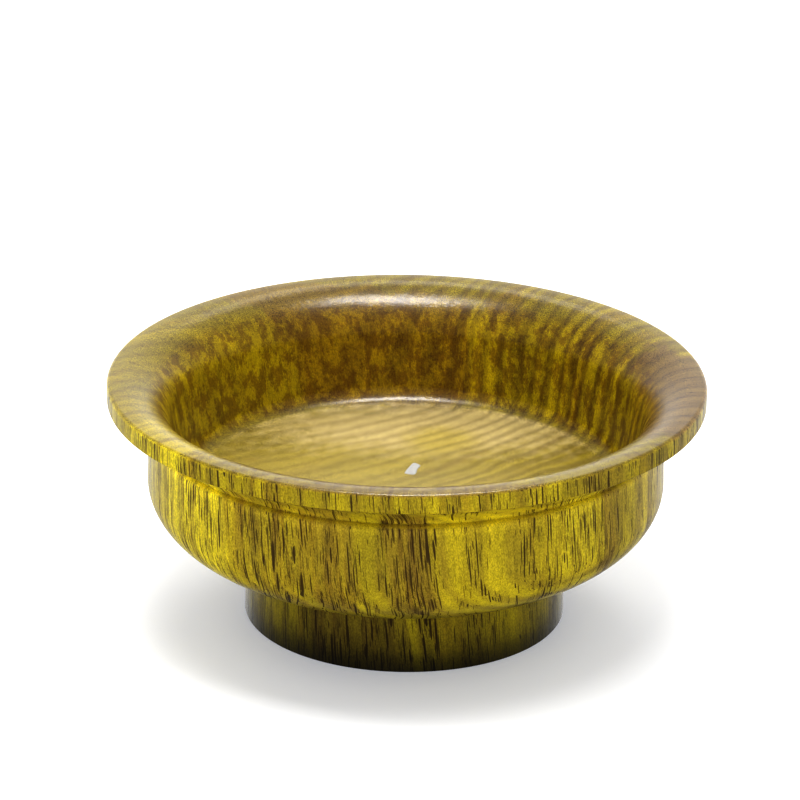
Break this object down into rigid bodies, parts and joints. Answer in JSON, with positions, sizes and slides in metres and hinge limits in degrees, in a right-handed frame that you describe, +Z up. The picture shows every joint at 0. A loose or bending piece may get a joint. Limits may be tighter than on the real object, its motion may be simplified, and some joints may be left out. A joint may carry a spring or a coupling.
{
  "type": "shaving bowl",
  "caption": "Round turned wooden shaving bowl on a ring foot, with a flared rolled rim and a shallow flat-floored well for working up lather.",
  "frame": {"origin": "centre of the foot's underside, on the surface the bowl stands on", "axes": "+Z up along the bowl's turning axis; -Y faces the viewer; the wood's fibres run along Z"},
  "size_m": [0.13, 0.13, 0.054],
  "materials": {
    "lacquered_wood": "satin lacquer over yellow-green and brown open-pored hardwood",
    "pale_filler": "matte off-white wood filler"
  },
  "bodies": {
    "root": {"bowl_body": "lacquered_wood", "floor_filler": "pale_filler"}
  },
  "joints": []
}
